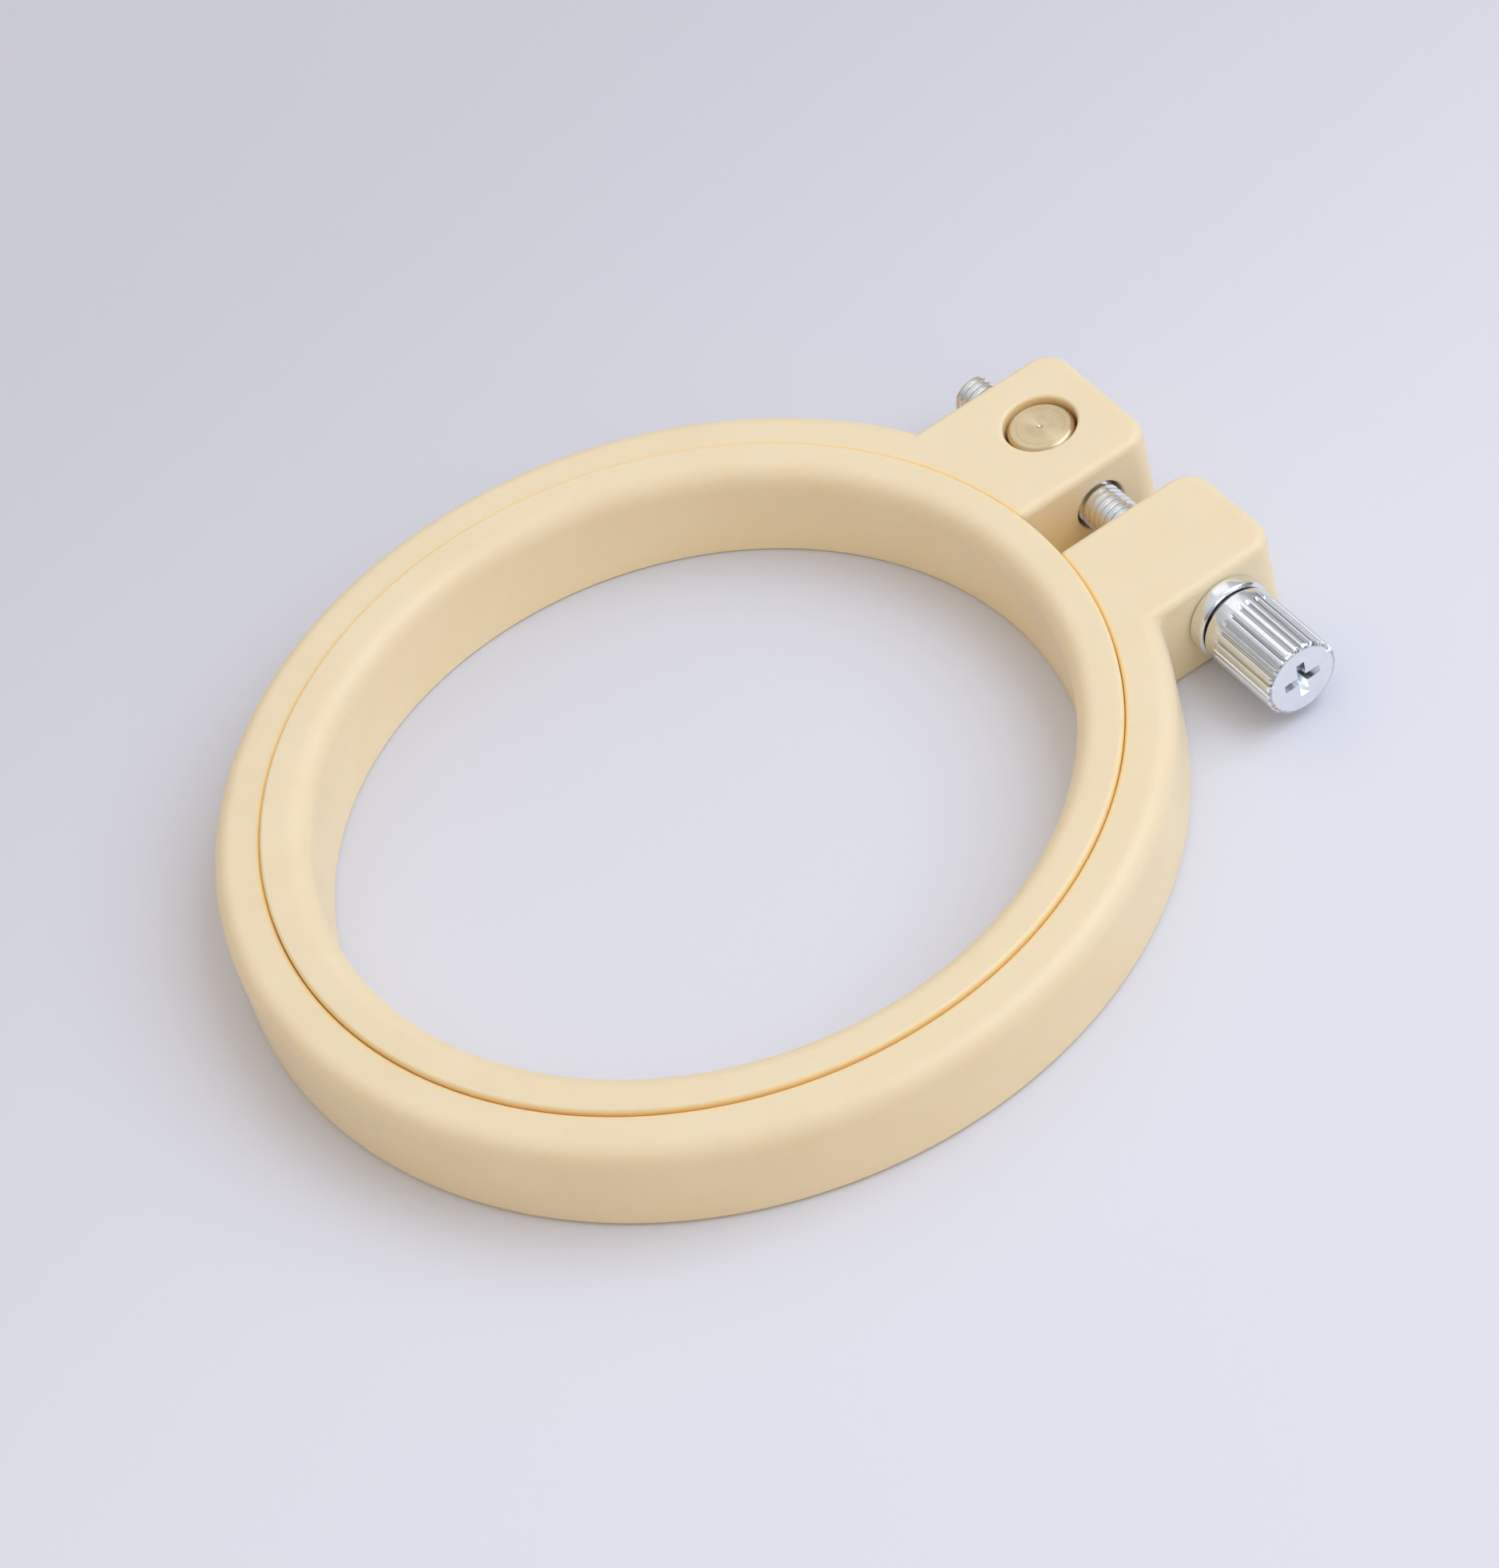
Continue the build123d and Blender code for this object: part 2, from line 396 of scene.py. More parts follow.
# Over which distances the painted amber glow fades from the split, the pocket's rim and the rings'
# seam, and how far below the lugs' tops it is full
SPLIT_PAINTED_GLOW, PAINTED_GLOW_DEPTH = 5 * MM, 5.5 * MM
POCKET_PAINTED_GLOW = 0.6 * MM, MM
SEAM_PAINTED_GLOW = 0.25 * MM, 0.6 * MM

# Marks to the metre of the metal's turning, the depth of its relief, how far it swings the
# roughness, how much it draws out highlights, and the quarter turn that sets them across it
TURNING_MARKS, MARK_DEPTH = 9000, 0.012 * MM
TURNING_SWING = -0.06, 0.08
STEEL_GRAIN, BRASS_GRAIN = 0.2, 0.85
ACROSS_TURNING = 0.25

# Marks to the metre of the metal's smears, how far the painted shade at a flute's bottom reaches, and
# the shades of both, the smears' at random and the flutes' painted
METAL_SMEARS, SMEAR_SHADE = 900, 0.94
PAINTED_SHADE_REACH, GROOVE_PAINTED_SHADE = 0.13 * MM, 0.65


class Finish:
    """A material's shader, and the nodes that vary it over a piece."""

    def __init__(self, name, **sockets):
        self.material = bpy.data.materials.new(name)
        self.material.use_nodes = True
        self.tree = self.material.node_tree
        self.shader = self.tree.nodes["Principled BSDF"]
        for socket, value in sockets.items():
            self.shader.inputs[socket.replace("_", " ")].default_value = value
        self.place = self.node("ShaderNodeTexCoord").outputs["Object"]

    def node(self, kind, inputs=(), **settings):
        """A node with its inputs set or linked."""
        node = self.tree.nodes.new(kind)
        for name, value in settings.items():
            setattr(node, name, value)
        for name, value in dict(inputs).items():
            if isinstance(value, bpy.types.NodeSocket):
                self.tree.links.new(value, node.inputs[name])
            else:
                node.inputs[name].default_value = value
        return node

    def noise(self, per_metre, detail=2.0, vector=None):
        """Cloudy noise with so many marks to the metre."""
        inputs = {"Vector": vector or self.place, "Scale": per_metre, "Detail": detail}
        return self.node("ShaderNodeTexNoise", inputs).outputs["Fac"]

    def spread(self, value, low, high):
        """A noise spread over a range."""
        inputs = {"Value": value, "To Min": low, "To Max": high}
        inputs["From Min"], inputs["From Max"] = NOISE_RANGE
        return self.node("ShaderNodeMapRange", inputs).outputs["Result"]

    def cloud(self, value, first, second):
        """A colour that changes from one to another by a value."""
        node = self.node("ShaderNodeMix", data_type="RGBA")
        self.tree.links.new(value, node.inputs["Factor"])
        for socket, tint in ((node.inputs[6], first), (node.inputs[7], second)):
            if isinstance(tint, bpy.types.NodeSocket):
                self.tree.links.new(tint, socket)
            else:
                socket.default_value = (*tint, 1)
        return node.outputs[2]

    def bump(self, height, depth, normal=None):
        """Faint relief of a depth, laid over another where one is given."""
        inputs = {"Height": height, "Distance": depth, "Strength": RELIEF}
        node = self.node("ShaderNodeBump", inputs)
        if normal:
            self.tree.links.new(normal, node.inputs["Normal"])
        return node.outputs["Normal"]

    def wire(self, **sockets):
        """Links outputs to the shader's sockets."""
        for socket, output in sockets.items():
            self.tree.links.new(output, self.shader.inputs[socket.replace("_", " ")])

    def vector(self, operation, first, second=(0, 0, 0), output="Vector"):
        """Result of a vector sum."""
        node = self.node("ShaderNodeVectorMath", {0: first, 1: second}, operation=operation)
        return node.outputs[output]

    def fade(self, distance, near, far):
        """A value that is 1 up to a near distance and fades to 0 at a far one."""
        inputs = {"Value": distance, "From Min": near, "From Max": far, "To Min": 1, "To Max": 0}
        return self.node("ShaderNodeMapRange", inputs).outputs["Result"]

    def from_box(self, low, high):
        """Distance from an upright box."""
        below = self.vector("SUBTRACT", low, self.place)
        above = self.vector("SUBTRACT", self.place, high)
        outside = self.vector("MAXIMUM", self.vector("MAXIMUM", below, above))
        return self.vector("LENGTH", outside, output="Value")

    def from_circle(self, centre, radius):
        """Distance from a level circle."""
        arm = self.vector("SUBTRACT", self.place, centre)
        flat = self.vector("MULTIPLY", arm, (1, 1, 0))
        rise = self.vector("DOT_PRODUCT", arm, (0, 0, 1), "Value")
        reach = self.vector("LENGTH", flat, output="Value")
        aside = self.node("ShaderNodeMath", {0: reach, 1: radius}, operation="SUBTRACT").outputs[0]
        spot = self.node("ShaderNodeCombineXYZ", {"X": aside, "Y": rise}).outputs[0]
        return self.vector("LENGTH", spot, output="Value")


def paint(piece, material):
    """Gives a piece its one material."""
    piece.data.materials.clear()
    piece.data.materials.append(material)


def ring_plastic():
    """Cream moulded plastic, satin and a little see-through, clouded very slightly, with a painted amber
    glow in the split, round the pocket's rim and along the rings' seam.
    """
    if "cream_plastic_painted_glow" in bpy.data.materials:
        return bpy.data.materials["cream_plastic_painted_glow"]
    look = bpy.context.scene.hoop_finishes
    finish = Finish(
        "cream_plastic_painted_glow",
        Subsurface_Weight=look.plastic_glow,
        Subsurface_Radius=GLOW_REACH,
        Subsurface_Scale=GLOW_SCALE,
        IOR=PLASTIC_IOR,
    )
    size = bpy.context.scene.hoop_rings
    bore, half_gap = size.outer_radius - size.wall, size.split_gap / 2
    split = finish.from_box(
        (-half_gap, bore - MM, 0), (half_gap, bore + SPLIT_PAINTED_GLOW, size.height - PAINTED_GLOW_DEPTH)
    )
    rim = finish.from_circle((nut_x, screw_y, size.height - MM), size.pocket_radius)
    seam = finish.from_circle((0, 0, size.height), bore)
    clouds = finish.spread(finish.noise(PLASTIC_CLOUDS), 0, 1)
    cream = finish.cloud(clouds, look.plastic, look.plastic_shade)
    # Painted glow inside the split and round the pocket's rim
    cream = finish.cloud(finish.fade(split, 0, SPLIT_PAINTED_GLOW), cream, look.plastic_gap_glow)
    cream = finish.cloud(finish.fade(rim, *POCKET_PAINTED_GLOW), cream, look.plastic_gap_glow)
    # Painted glow along the rings' seam
    cream = finish.cloud(finish.fade(seam, *SEAM_PAINTED_GLOW), cream, look.plastic_seam_glow)
    sheen = [look.plastic_roughness + swing for swing in PLASTIC_SWING]
    swell = finish.bump(finish.noise(PLASTIC_SWELL, 1), SWELL_DEPTH)
    finish.wire(
        Base_Color=cream,
        Roughness=finish.spread(finish.noise(PLASTIC_SHEEN, 3), *sheen),
        Normal=finish.bump(finish.noise(PLASTIC_GRAIN, 2), GRAIN_DEPTH, swell),
    )
    return finish.material


def turned_metal(name, base, rough, grain, centre, axis, groove=0.0):
    """Metal with the fine rings of turning round an axis, with painted shade at the radius of a groove.
    """
    if name in bpy.data.materials:
        return bpy.data.materials[name]
    finish = Finish(name, Metallic=1.0, Anisotropic=grain, Anisotropic_Rotation=ACROSS_TURNING)
    arm = finish.vector("SUBTRACT", finish.place, centre)
    flat = finish.vector("MULTIPLY", arm, [1 - part for part in axis])
    reach = finish.vector("LENGTH", flat, output="Value")
    along = finish.vector("DOT_PRODUCT", arm, axis, "Value")
    rings = finish.node("ShaderNodeCombineXYZ", {"X": reach, "Y": along}).outputs[0]
    tangent = finish.node(
        "ShaderNodeVectorTransform",
        {"Vector": finish.vector("CROSS_PRODUCT", axis, flat)},
        vector_type="VECTOR",
        convert_from="OBJECT",
        convert_to="WORLD",
    ).outputs[0]
    marks = finish.noise(TURNING_MARKS, 2, rings)
    smears = finish.spread(finish.noise(METAL_SMEARS, 3), 0, 1)
    smears_and_painted_shade = finish.cloud(smears, base, [part * SMEAR_SHADE for part in base])
    # Painted shade: the metal is darker where a flute's bottom lies
    if groove:
        inputs = {0: reach, 1: groove, 2: PAINTED_SHADE_REACH}
        painted_groove_shade = finish.node("ShaderNodeMath", inputs, operation="COMPARE").outputs[0]
        smears_and_painted_shade = finish.cloud(painted_groove_shade, smears_and_painted_shade, [part * GROOVE_PAINTED_SHADE for part in base])
    finish.wire(
        Base_Color=smears_and_painted_shade,
        Roughness=finish.spread(marks, *(rough + swing for swing in TURNING_SWING)),
        Normal=finish.bump(marks, MARK_DEPTH),
        Tangent=tangent,
    )
    return finish.material


def screw_steel():
    """Bright plated steel, with painted shade at the bottom of the flutes."""
    look, size = bpy.context.scene.hoop_finishes, bpy.context.scene.hoop_screw
    centre, groove = (0, screw_y, screw_z), size.head_radius - size.flute_depth
    return turned_metal(
        "bright_steel_painted_shade", look.steel, look.steel_roughness, STEEL_GRAIN, centre, (1, 0, 0), groove
    )


def nut_brass():
    """Plain turned brass."""
    look = bpy.context.scene.hoop_finishes
    centre = (nut_x, screw_y, 0)
    return turned_metal(
        "turned_brass", look.brass, look.brass_roughness, BRASS_GRAIN, centre, (0, 0, 1)
    )


# Pieces

# The outer ring: how far round a lug's root its outline is redrawn, and how far inside the rim a
# chord's middle may lie
ROOT_REACH = 3 * MM
CHORD_SLACK = 0.3 * MM

# How much of the outline is cleared for a round, and below which angle an edge gets none
FRONT_ROOM = 1.15
SIDE_ROOM = 1.6
NEARLY_FLAT = radians(20)


def corner_at(radius, x):
    """Point of a circle about the rings' axis at a place along X, on the lugs' side."""
    return Vector((x, (radius**2 - x**2) ** 0.5, 0))


def clear_corner(piece, corner, reach):
    """Takes the points close to one corner out of a flat outline."""
    if pick(piece, "VERT", lambda m: TINY < (m - corner).length < reach, needed=False):
        bpy.ops.mesh.dissolve_verts()


def round_corner(piece, corner, radius):
    """Rounds one corner of a flat outline."""
    clear_corner(piece, corner, FRONT_ROOM * radius)
    pick(piece, "VERT", lambda m: (m - corner).length < TINY)
    form = bmesh.from_edit_mesh(piece.data)
    point = next(point for point in form.verts if point.select)
    arms = [edge.other_vert(point).co - point.co for edge in point.link_edges]
    reach = radius / tan(arms[0].angle(arms[1]) / 2)
    bpy.ops.mesh.bevel(offset=reach, segments=ROUND_STEPS, affect="VERTICES")


class HOOP_OT_outer_ring(bpy.types.Operator):
    """Model the split outer ring with its two lugs, the nut's pocket and the screw's ways"""

    bl_idname = "hoop.outer_ring"
    bl_label = "Outer Ring"

    def execute(self, context):
        size = context.scene.hoop_rings
        bore = size.outer_radius - size.wall
        half_gap = size.split_gap / 2
        nut_end = -half_gap - size.nut_lug_width
        lugs = ((nut_end, -half_gap), (half_gap, size.head_lug_end))

        piece = add_piece(
            bpy.ops.mesh.primitive_circle_add, "outer_ring", vertices=RING_SIDES, radius=bore
        )
        edit(piece)
        bpy.ops.mesh.select_all(action="SELECT")
        carry_on(ratio=size.outer_radius / bore)
        self.draw_lugs(piece, size, lugs)
        self.round_plan(piece, size, bore, lugs)

        bpy.ops.mesh.select_all(action="SELECT")
        carry_on(size.height)
        self.weigh_rims(piece, size, bore, lugs)
        close_up(piece)
        use_modifier(
            piece,
            "BEVEL",
            limit_method="WEIGHT",
            width=size.top_round,
            segments=ROUND_STEPS,
            use_clamp_overlap=False,
        )
        self.cut_ways(piece, size, lugs)
        polish(piece, MOULDED_SHARP)
        paint(piece, ring_plastic())

        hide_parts("outer_ring_head_side", "outer_ring_nut_side")
        self.flex(piece)
        return {"FINISHED"}

    @staticmethod
    def draw_lugs(piece, size, lugs):
        """Opens the split and draws both lugs on to the flat ring."""
        for end in (*lugs[0], *lugs[1]):
            pick(piece, "FACE", lambda m: m.y > 0)
            bpy.ops.mesh.bisect(plane_co=(end, 0, 0), plane_no=(1, 0, 0), threshold=TINY)
        pick(piece, "FACE", lambda m: m.y > 0 and abs(m.x) < lugs[1][0])
        bpy.ops.mesh.delete(type="FACE")
        for low, high in lugs:
            rim = size.outer_radius - CHORD_SLACK
            pick(piece, "EDGE", lambda m: m.y > 0 and low < m.x < high and m.length > rim)
            bpy.ops.mesh.extrude_region()
            bpy.ops.transform.resize(value=(1, 0, 1), center_override=(0, size.lug_face, 0))
            pick(piece, "FACE", lambda m: m.y > 0 and low - ROOT_REACH < m.x < high + ROOT_REACH)
            bpy.ops.mesh.dissolve_faces()
            pick(
                piece,
                "VERT",
                lambda m: abs(m.y - size.lug_face) < TINY and low + TINY < m.x < high - TINY,
            )
            bpy.ops.mesh.dissolve_verts()

    @staticmethod
    def upright_corners(size, bore, lugs):
        """The upright corners that get a round of their own, each with its radius."""
        roots = [(corner_at(size.outer_radius, end), size.lug_root) for end in (lugs[0][0], lugs[1][1])]
        mouths = [(corner_at(bore, end), size.split_corner) for end in (lugs[0][1], lugs[1][0])]
        return roots + mouths

    def round_plan(self, piece, size, bore, lugs):
        """Rounds the lugs' front corners and makes room for the other rounds."""
        for end in (*lugs[0], *lugs[1]):
            round_corner(piece, Vector((end, size.lug_face, 0)), size.lug_corner)
        for corner, radius in self.upright_corners(size, bore, lugs):
            clear_corner(piece, corner, radius + SIDE_ROOM * size.lug_edge_round)

    def weigh_rims(self, piece, size, bore, lugs):
        """Gives every edge its own round, which changes only at the plan's sharp corners."""
        corners = self.upright_corners(size, bore, lugs)
        form = bmesh.from_edit_mesh(piece.data)
        form.normal_update()
        weights = form.edges.layers.float.new("bevel_weight_edge")
        for edge in form.edges:
            if len(edge.link_faces) != 2 or edge.calc_face_angle() < NEARLY_FLAT:
                continue
            point = middle(edge)
            upright = [radius for corner, radius in corners if (point.xy - corner.xy).length < TINY]
            ring, lug, mouth = (
                (size.top_round, size.lug_edge_round, size.mouth_round)
                if point.z > size.height / 2
                else (size.foot_round, size.lug_foot_round, size.bore_foot_round)
            )
            reach = hypot(point.x, point.y)
            if upright:
                round_here = upright[0]
            elif reach < bore + TINY:
                round_here = mouth
            elif point.y > 0 and lugs[0][0] - TINY < point.x < lugs[1][1] + TINY:
                round_here = lug
            else:
                round_here = ring
            edge[weights] = round_here / size.top_round
        bmesh.update_edit_mesh(piece.data)

    @staticmethod
    def cut_ways(piece, size, lugs):
        """Cuts the nut's pocket and the screw's way through each lug."""
        pocket = flared("pocket", size.pocket_radius, size.pocket_round, 0, size.height)
        pocket.location = (nut_x, screw_y, 0)
        combine(piece, pocket, "DIFFERENCE")
        for radius, (low, high) in zip((size.nut_way, size.head_way), lugs):
            way = flared("way", radius, size.way_round, low, high)
            lay_on_screw_line(way)
            combine(piece, way, "DIFFERENCE")

    @staticmethod
    def flex(piece):
        """Bakes the ring's place into its mesh."""
        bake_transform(piece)


class HOOP_OT_inner_ring(bpy.types.Operator):
    """Model the plain inner ring"""

    bl_idname = "hoop.inner_ring"
    bl_label = "Inner Ring"

    def execute(self, context):
        size = context.scene.hoop_rings
        rounds = (
            size.bore_foot_round,
            size.inner_foot_round,
            size.inner_rim_round,
            size.inner_lip_round,
        )
        bore = inner_box[1].x - size.inner_wall
        radii = (bore, size.outer_radius - size.wall - size.seam)
        piece = spun("inner_hoop", radii, (0, size.inner_height), rounds)
        polish(piece, MOULDED_SHARP)
        paint(piece, ring_plastic())
        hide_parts("inner_ring")
        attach(piece, "inner")
        return {"FINISHED"}


# A flute's depth from its middle outwards, as shares of the full depth
FLUTES = 25
POINTS_PER_FLUTE = 10
FLUTE_SHAPE = (1.0, 0.8, 0.12)

# Slopes of the cross recess's ends and sides, and how far its cutting form stands out
CROSS_SLOPES = tan(radians(26)), tan(radians(6))
CROSS_OVER = 0.3 * MM

# How many chamfers the boss is set back from the head's side, how far the neck runs into the
# threaded rod, and how far the rod's outer form stands off the thread's crests
BOSS_SET_BACK = 3
NECK_OVERLAP = 0.5 * MM
CREST_OVER = 0.05 * MM
THREAD_STEPS = 48

# Above which angle the screw's and the flutes' edges stay sharp, and how wide a broken edge is
SCREW_SHARP = radians(25)
FLUTE_SHARP = radians(40)
BROKEN_EDGE = 0.05 * MM


class HOOP_OT_thumb_screw(bpy.types.Operator):
    """Model the thumb screw with its fluted head, cross recess and thread"""

    bl_idname = "hoop.thumb_screw"
    bl_label = "Thumb Screw"

    def execute(self, context):
        size = context.scene.hoop_screw
        head_start, tip = washer_box[1].x, screw_box[0].x
        piece = self.head(size, head_start, screw_box[1].x)
        self.cut_cross(piece, size, screw_box[1].x)
        combine(piece, self.threaded_rod(size, tip, head_start - size.neck_length), "UNION")
        lay_on_screw_line(piece)
        polish(piece, SCREW_SHARP)
        paint(piece, screw_steel())
        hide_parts("thumb_screw")
        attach(piece, "screw")
        return {"FINISHED"}

    def head(self, size, start, end):
        """The plain neck and the fluted head, along Z."""
        radius, chamfer = size.head_radius, size.head_chamfer
        rod_end = start - size.neck_length
        boss, boss_end = radius - BOSS_SET_BACK * chamfer, start + size.head_boss
        band = start + size.plain_band
        stations = (
            (rod_end - NECK_OVERLAP, size.neck_radius),
            (start, size.neck_radius),
            (start, boss),
            (boss_end, boss),
            (boss_end, radius - chamfer),
            (boss_end + chamfer, radius),
            (band - size.flute_run_out, radius),
            (band, radius),
        )
        piece = turned("fluted_screw", stations, FLUTES * POINTS_PER_FLUTE)
        edit(piece)
        self.press_flutes(piece, band, radius, size.flute_depth)
        pick(piece, "FACE", lambda m: abs(m.z - band) < TINY and hypot(m.x, m.y) < MM)
        carry_on(end - chamfer - band)
        carry_on(chamfer)
        self.press_flutes(piece, end, radius, size.flute_depth, radius - chamfer)
        close_up(piece)
        break_edges(piece, BROKEN_EDGE, FLUTE_SHARP)
        return piece

    @staticmethod
    def press_flutes(piece, place, radius, depth, level=None):
        """Presses the grooves into one ring of points, or brings the whole ring to one level."""
        for step in range(POINTS_PER_FLUTE // 2 + 1):
            cut = depth * FLUTE_SHAPE[step] if step < len(FLUTE_SHAPE) else 0
            if cut == 0 and level is None:
                break

            def in_step(m):
                turn = atan2(m.y, m.x) / (2 * pi) * FLUTES * POINTS_PER_FLUTE
                nearest = round(turn) % POINTS_PER_FLUTE
                return abs(m.z - place) < TINY and min(nearest, POINTS_PER_FLUTE - nearest) == step

            pick(piece, "VERT", in_step)
            ratio = (radius - cut) / radius if level is None else level / (radius - cut)
            bpy.ops.transform.resize(value=(ratio, ratio, 1), center_override=(0, 0, place))

    @staticmethod
    def cut_cross(piece, size, end):
        """Cuts the tapered cross recess into the head's end."""
        height = size.cross_depth + CROSS_OVER
        spans = (size.cross_span, size.cross_width)
        sides = [span + 2 * CROSS_OVER * slope for span, slope in zip(spans, CROSS_SLOPES)]
        ratios = [1 - 2 * height * slope / side for side, slope in zip(sides, CROSS_SLOPES)]
        for turn in (0, pi / 2):
            arm = add_piece(bpy.ops.mesh.primitive_cube_add, "arm", size=1)
            edit(arm)
            bpy.ops.transform.resize(value=(*sides, height), center_override=(0, 0, 0))
            pick(arm, "FACE", lambda m: m.z < -height / 2 + TINY)
            bpy.ops.transform.resize(value=(*ratios, 1), center_override=(0, 0, -height / 2))
            edit(arm, False)
            arm.rotation_euler = (0, 0, turn)
            arm.location = (0, 0, end + CROSS_OVER - height / 2)
            combine(piece, arm, "DIFFERENCE")

    @staticmethod
    def threaded_rod(size, tip, end):
        """A rod with a right-hand thread along Z, chamfered at its tip."""
        crest, root = size.thread_radius, size.thread_radius - size.thread_depth
        flank = size.thread_pitch / 2 - size.thread_land
        over = 2 * size.thread_pitch
        rod = add_piece(
            bpy.ops.mesh.primitive_plane_add, "rod", size=MM, location=(crest, 0, tip - over)
        )
        bpy.ops.object.transform_apply(location=True, rotation=True, scale=True)
        edit(rod)
        bpy.ops.mesh.merge(type="CENTER")
        run = ((0, size.thread_land), (root - crest, flank), (0, size.thread_land), (crest - root, flank))
        for out, rise in run:
            bpy.ops.mesh.extrude_region()
            bpy.ops.transform.translate(value=(out, 0, rise))
        edit(rod, False)
        turns = int((end - tip + 2 * over) / size.thread_pitch) + 1
        use_modifier(
            rod,
            "SCREW",
            axis="Z",
            screw_offset=size.thread_pitch,
            iterations=turns,
            steps=THREAD_STEPS,
            render_steps=THREAD_STEPS,
            use_merge_vertices=True,
            merge_threshold=TINY,
        )
        edit(rod)
        for place, way in ((tip - size.thread_pitch / 2, 1), (end + size.thread_pitch / 2, -1)):
            bpy.ops.mesh.select_all(action="SELECT")
            bpy.ops.mesh.bisect(
                plane_co=(0, 0, place),
                plane_no=(0, 0, way),
                use_fill=True,
                clear_inner=True,
                threshold=TINY,
            )
        close_up(rod)
        wide = crest + CREST_OVER
        stations = ((tip, crest - size.tip_chamfer), (tip + size.tip_chamfer, wide), (end, wide))
        combine(rod, turned("envelope", stations, THREAD_STEPS), "INTERSECT")
        return rod


# Chamfer of the washer's hole, width of its broken edges, and the room it leaves the screw's boss
BORE_CHAMFER = 0.1 * MM
WASHER_EDGE = 0.04 * MM
WASHER_SLACK = 0.02 * MM


class HOOP_OT_washer(bpy.types.Operator):
    """Model the washer under the screw's head"""

    bl_idname = "hoop.washer"
    bl_label = "Washer"

    def execute(self, context):
        size = context.scene.hoop_screw
        radii = (size.washer_bore, washer_box[1].y - screw_y)
        places = (washer_box[0].x, washer_box[1].x - WASHER_SLACK)
        chamfers = (BORE_CHAMFER, size.washer_chamfer, size.washer_chamfer, BORE_CHAMFER)
        piece = spun("screw_washer", radii, places, chamfers, steps=SMALL_SIDES, segments=1)
        break_edges(piece, WASHER_EDGE)
        lay_on_screw_line(piece)
        polish(piece)
        paint(piece, screw_steel())
        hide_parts("head_washer")
        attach(piece, "screw")
        return {"FINISHED"}


# Depth of the mark at the nut's centre and radius of its point, as shares of the mark's radius
MARK_SHAPE = 0.6, 0.1


class HOOP_OT_barrel_nut(bpy.types.Operator):
    """Model the brass barrel nut with its cross hole"""

    bl_idname = "hoop.barrel_nut"
    bl_label = "Barrel Nut"

    def execute(self, context):
        size = context.scene.hoop_screw
        radius = (nut_box[1].x - nut_box[0].x) / 2
        low, high = nut_box[0].z, nut_box[1].z
        face, mark = radius - size.nut_chamfer, size.nut_centre_mark
        mark_depth, mark_point = (share_of * mark for share_of in MARK_SHAPE)
        stations = (
            (low, face),
            (low + size.nut_chamfer, radius),
            (high - size.nut_chamfer, radius),
            (high, face),
            (high, mark),
            (high - mark_depth, mark_point),
        )
        piece = turned("brass_nut", stations, SMALL_SIDES)
        break_edges(piece, BROKEN_EDGE)
        piece.location = (nut_x, screw_y, 0)
        bpy.ops.object.transform_apply(location=True, rotation=True, scale=True)
        hole = flared("hole", size.nut_hole, size.nut_hole_round, nut_box[0].x, nut_box[1].x)
        lay_on_screw_line(hole)
        combine(piece, hole, "DIFFERENCE")
        polish(piece)
        paint(piece, nut_brass())
        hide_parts("barrel_nut")
        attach(piece, "nut")
        return {"FINISHED"}


# The table's size, how far it lies under the hoop, between which places along X it darkens with
# painted shade, and its roughness
TABLE_SIZE = 6
TABLE_DROP = 0.02 * MM
TABLE_SHADE_SPAN = -0.14, 0.06
TABLE_ROUGHNESS = 0.55

# Width and place of each lamp
KEY_LAMP = 1.1, (0.42, 0.70, 0.95)
BACK_LAMP = 0.8, (-0.9, 0.3, 0.95)
SIDE_LAMP = 0.5, (1.0, 0.0, 0.55)
WHITE = (1, 1, 1)

# The camera, with its turns in degrees and its lens and sensor in millimetres
CAMERA_PLACE = (0.3511, -0.1302, 0.4066)
CAMERA_TURNS = (41.803, 11.768, 55.921)
CAMERA_LENS, SENSOR_WIDTH = 123.37, 36
CAMERA_SHIFT = -0.0079
CAMERA_NEAREST = 0.01


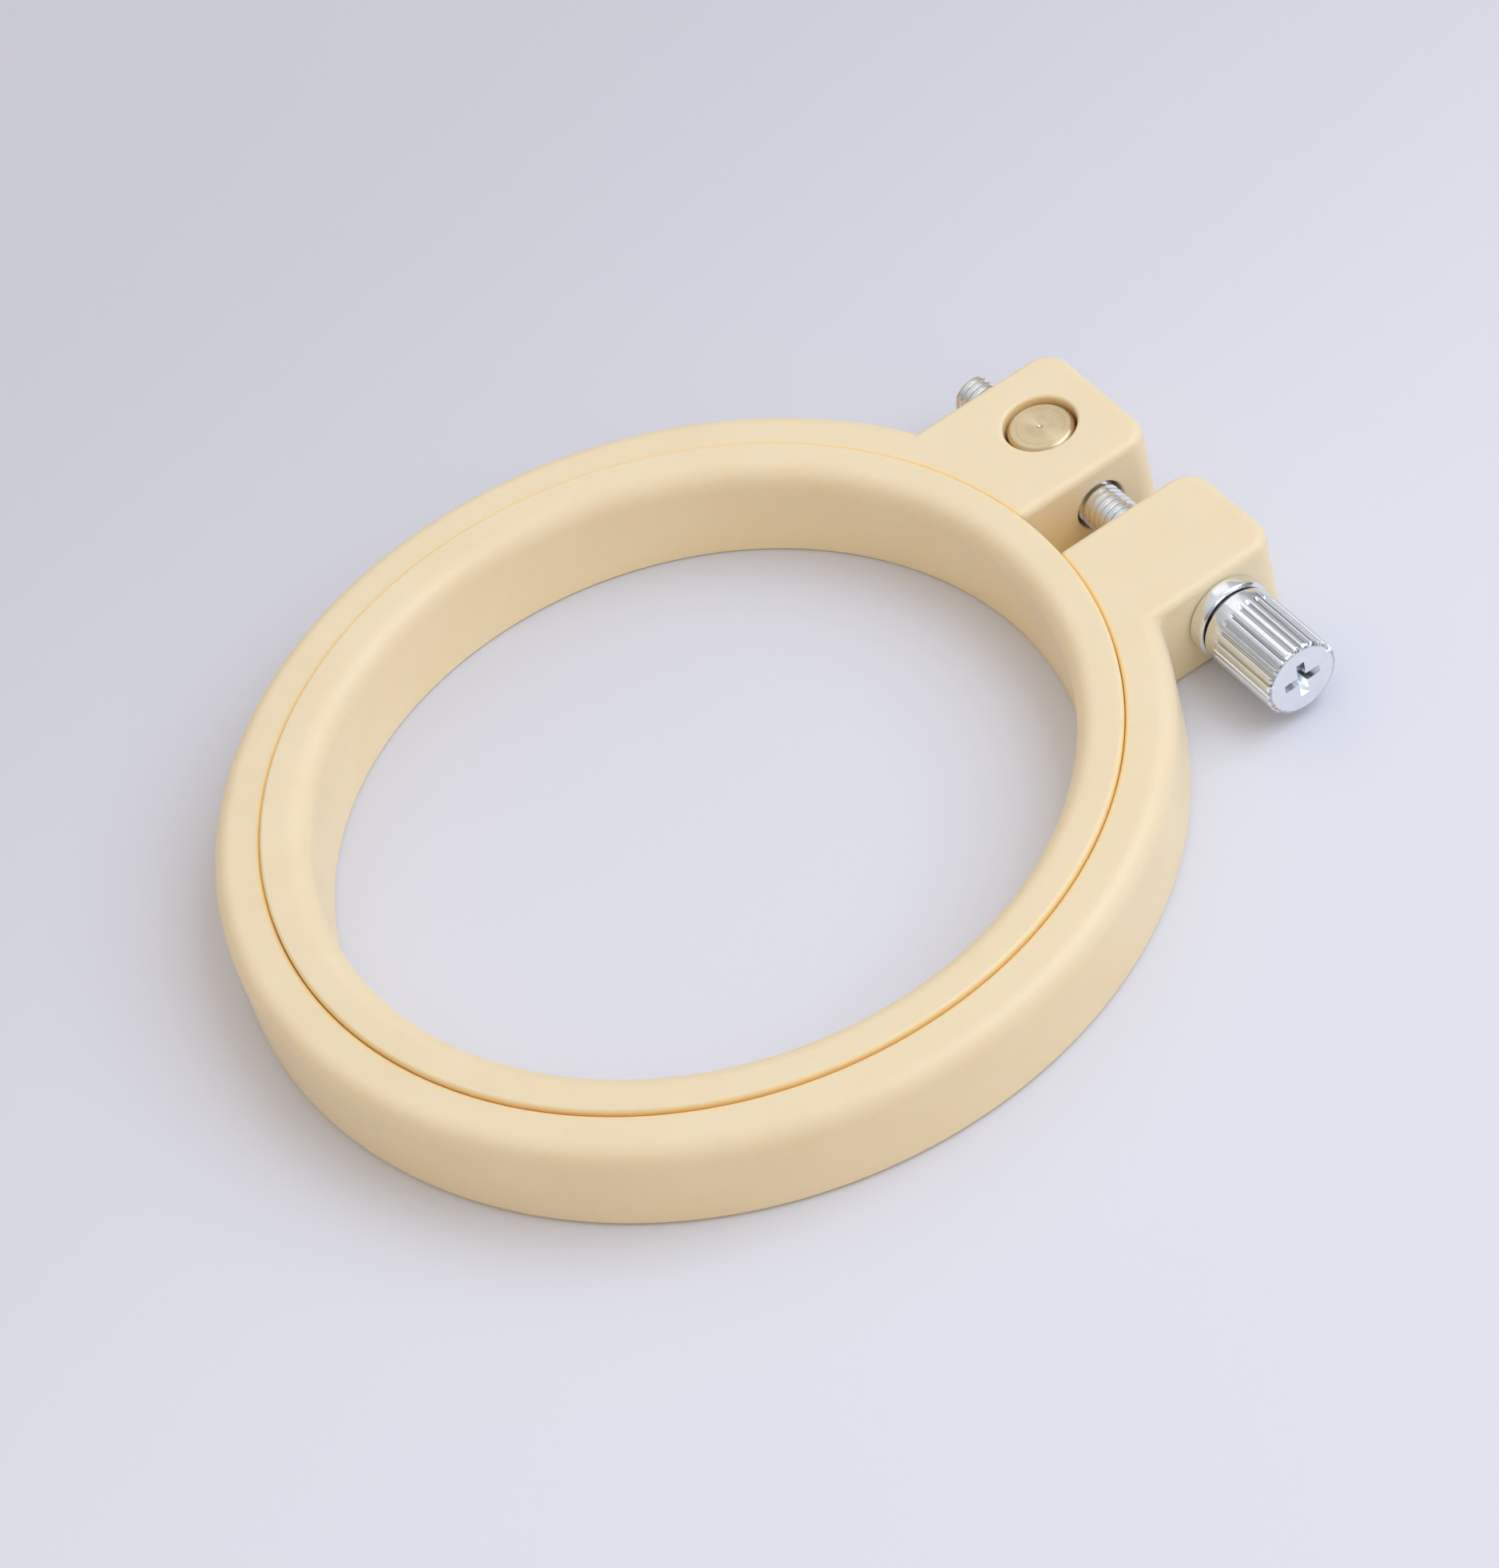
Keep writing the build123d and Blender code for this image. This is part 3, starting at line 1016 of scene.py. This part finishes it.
class HOOP_OT_studio(bpy.types.Operator):
    """Set up the table, the lamps, the sky and the camera"""

    bl_idname = "hoop.studio"
    bl_label = "Studio"

    def execute(self, context):
        studio = context.scene.hoop_studio
        table = add_piece(
            bpy.ops.mesh.primitive_plane_add, "table", size=TABLE_SIZE, location=(0, 0, -TABLE_DROP)
        )
        paint(table, self.table_top_painted_shade(context.scene.hoop_finishes))

        self.lamp("key", studio.key_power, *KEY_LAMP, studio.key_colour)
        self.lamp("back", studio.back_power, *BACK_LAMP, WHITE)
        self.lamp("side", studio.side_power, *SIDE_LAMP, WHITE)
        self.sky(studio)

        camera = bpy.data.cameras.new("camera")
        camera.lens, camera.sensor_width = CAMERA_LENS, SENSOR_WIDTH
        camera.shift_y = CAMERA_SHIFT
        camera.clip_start = CAMERA_NEAREST
        view = bpy.data.objects.new("camera", camera)
        context.scene.collection.objects.link(view)
        view.location = CAMERA_PLACE
        view.rotation_euler = [radians(turn) for turn in CAMERA_TURNS]
        context.scene.camera = view
        context.scene.view_settings.view_transform = "Standard"
        return {"FINISHED"}

    @staticmethod
    def table_top_painted_shade(look):
        """A pale table with painted shade towards -X, whose colour in plain sight differs from that of
        its bounced light.
        """
        finish = Finish("table_top_painted_shade", Roughness=TABLE_ROUGHNESS)
        # Painted shade: the table's colour darkens towards -X
        across = finish.node("ShaderNodeSeparateXYZ", {0: finish.place}).outputs["X"]
        painted_falloff = finish.node(
            "ShaderNodeMapRange",
            {"Value": across, "From Min": TABLE_SHADE_SPAN[0], "From Max": TABLE_SHADE_SPAN[1]},
            interpolation_type="SMOOTHSTEP",
        ).outputs["Result"]
        shown_with_painted_shade = finish.cloud(painted_falloff, look.table_painted_shade, look.table)
        path = finish.node("ShaderNodeLightPath").outputs
        seen = path["Is Camera Ray"]
        for ray in ("Is Glossy Ray", "Is Transmission Ray"):
            seen = finish.node("ShaderNodeMath", {0: seen, 1: path[ray]}, use_clamp=True).outputs[0]
        finish.wire(Base_Color=finish.cloud(seen, look.table_bounce, shown_with_painted_shade))
        return finish.material

    @staticmethod
    def sky(studio):
        """A sky that is brightest overhead, and that gloss sees with more contrast."""
        world = bpy.context.scene.world or bpy.data.worlds.new("studio")
        bpy.context.scene.world = world
        world.use_nodes = True
        nodes, links = world.node_tree.nodes, world.node_tree.links
        split = nodes.new("ShaderNodeSeparateXYZ")
        links.new(nodes.new("ShaderNodeTexCoord").outputs["Generated"], split.inputs[0])
        views = []
        for tint, low, high in (
            (studio.sky_colour, studio.horizon, studio.zenith),
            (studio.gloss_colour, studio.gloss_horizon, studio.gloss_zenith),
        ):
            fade = nodes.new("ShaderNodeMapRange")
            links.new(split.outputs["Z"], fade.inputs["Value"])
            fade.inputs["To Min"].default_value = low
            fade.inputs["To Max"].default_value = high
            view = nodes.new("ShaderNodeBackground")
            view.inputs["Color"].default_value = (*tint, 1)
            links.new(fade.outputs["Result"], view.inputs["Strength"])
            views.append(view.outputs[0])
        choice = nodes.new("ShaderNodeMixShader")
        links.new(nodes.new("ShaderNodeLightPath").outputs["Is Glossy Ray"], choice.inputs[0])
        links.new(views[0], choice.inputs[1])
        links.new(views[1], choice.inputs[2])
        links.new(choice.outputs[0], nodes["World Output"].inputs["Surface"])

    @staticmethod
    def lamp(name, power, width, place, tint):
        """A square soft lamp that faces the hoop."""
        light = bpy.data.lights.new(name, "AREA")
        light.energy, light.size, light.color = power, width, tint
        lamp = bpy.data.objects.new(name, light)
        bpy.context.scene.collection.objects.link(lamp)
        lamp.location = place
        lamp.rotation_euler = Vector(place).to_track_quat("Z", "Y").to_euler()


class HOOP_PT_panel(bpy.types.Panel):
    """The hoop's pieces, sizes and finishes"""

    bl_idname = "HOOP_PT_panel"
    bl_label = "Embroidery Hoop"
    bl_space_type = "VIEW_3D"
    bl_region_type = "UI"
    bl_category = "Hoop"

    def draw(self, context):
        for operator in operators:
            self.layout.operator(operator.bl_idname)
        for name in groups:
            box = self.layout.box()
            settings = getattr(context.scene, name)
            for setting in settings.__annotations__:
                box.prop(settings, setting)


groups = {
    "hoop_rings": HoopRingSizes,
    "hoop_screw": HoopScrewSizes,
    "hoop_finishes": HoopFinishes,
    "hoop_studio": HoopStudio,
}
operators = (
    HOOP_OT_studio,
    HOOP_OT_outer_ring,
    HOOP_OT_inner_ring,
    HOOP_OT_thumb_screw,
    HOOP_OT_washer,
    HOOP_OT_barrel_nut,
)


def register():
    """Adds the classes and the scene's settings."""
    for group in (*groups.values(), *operators, HOOP_PT_panel):
        bpy.utils.register_class(group)
    for name, group in groups.items():
        setattr(bpy.types.Scene, name, bpy.props.PointerProperty(type=group))


def unregister():
    """Takes the scene's settings and the classes away."""
    for name in groups:
        delattr(bpy.types.Scene, name)
    for group in (HOOP_PT_panel, *operators, *groups.values()):
        bpy.utils.unregister_class(group)


def main():
    """Models the whole hoop."""
    register()
    bpy.ops.hoop.studio()
    bpy.ops.hoop.outer_ring()
    bpy.ops.hoop.inner_ring()
    bpy.ops.hoop.thumb_screw()
    bpy.ops.hoop.washer()
    bpy.ops.hoop.barrel_nut()


if __name__ == "__main__":
    main()
